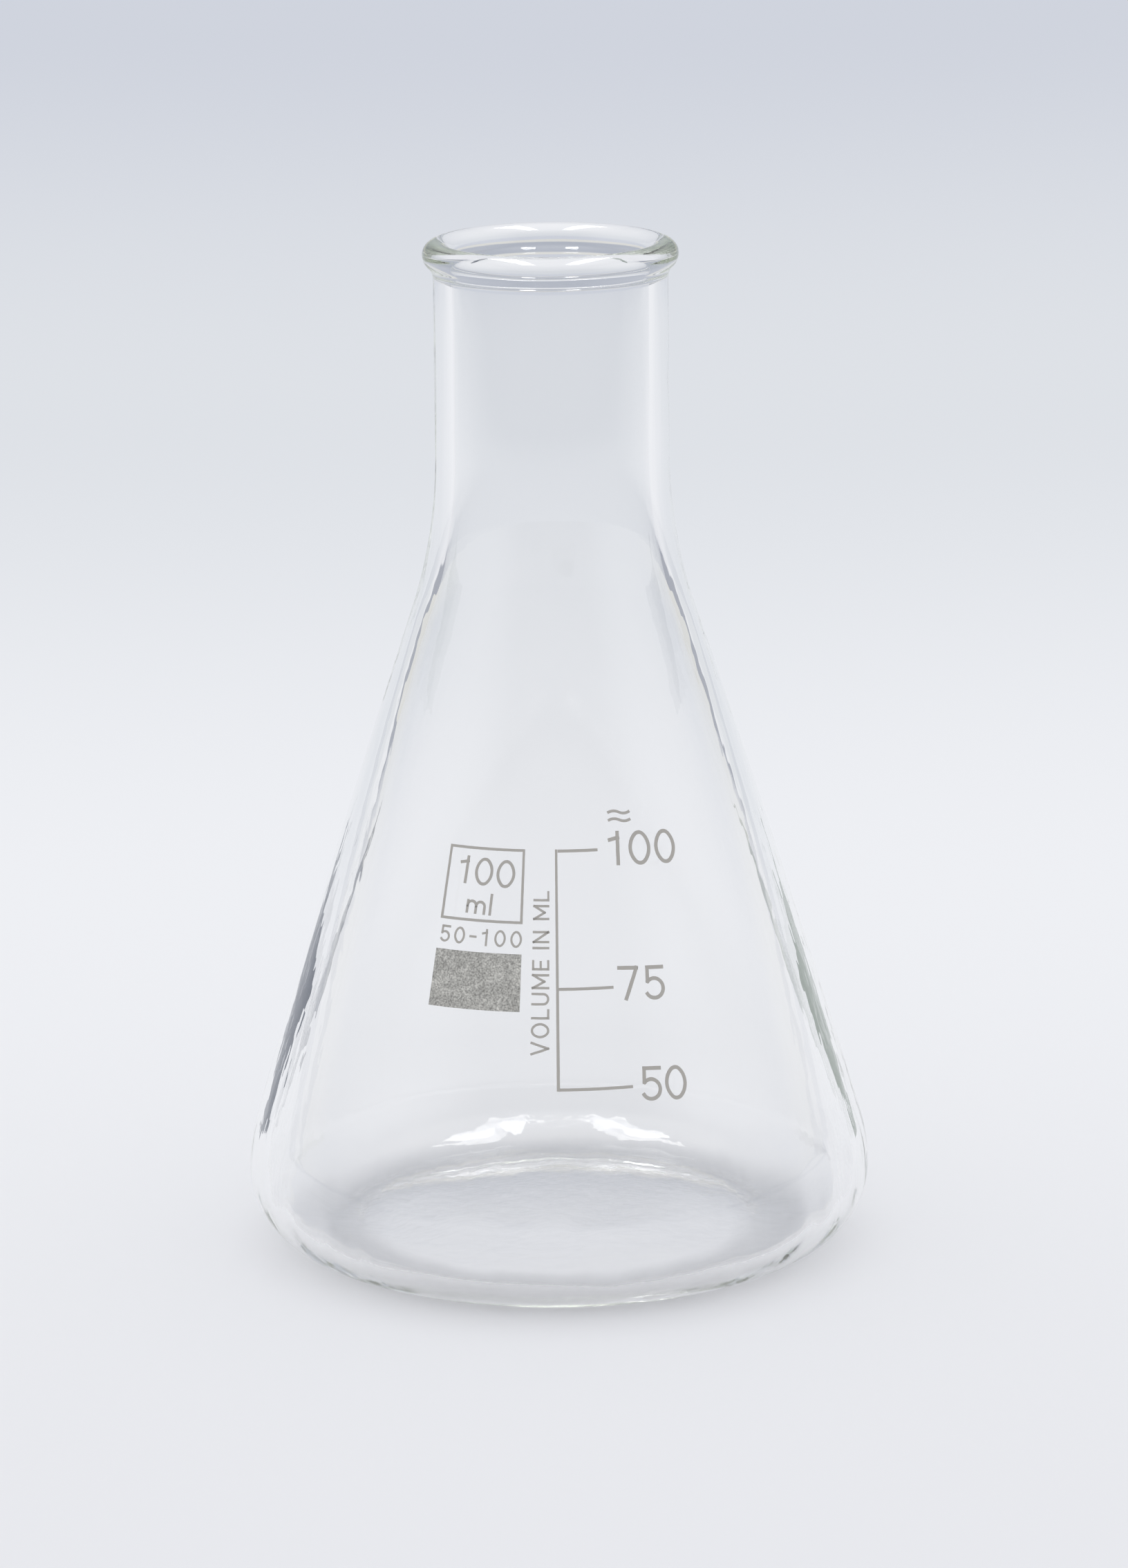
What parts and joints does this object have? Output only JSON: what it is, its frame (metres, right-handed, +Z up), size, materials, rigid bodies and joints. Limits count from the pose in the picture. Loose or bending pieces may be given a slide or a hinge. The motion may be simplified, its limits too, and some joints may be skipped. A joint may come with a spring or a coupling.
{
  "type": "erlenmeyer flask",
  "caption": "Clear conical laboratory flask with a beaded rim, a cylindrical neck and a printed volume scale on its front.",
  "frame": {"origin": "centre of the foot ring, on the surface that the flask stands on", "axes": "+Z up along the flask's axis; the printed front faces -Y; +X to the right seen from the front"},
  "size_m": [0.0644, 0.0644, 0.105],
  "materials": {
    "clear_glass": "fire-polished, clear, very slightly green at the edges",
    "line_enamel": "matt fired enamel, warm grey, fine pinholes",
    "panel_enamel": "matt fired enamel, mottled, takes a pencil"
  },
  "bodies": {
    "root": {"flask_body": "clear_glass", "scale_spine": "line_enamel", "graduation_50": "line_enamel", "graduation_75": "line_enamel", "graduation_100": "line_enamel", "capacity_frame": "line_enamel", "marking_panel": "panel_enamel"}
  },
  "joints": []
}
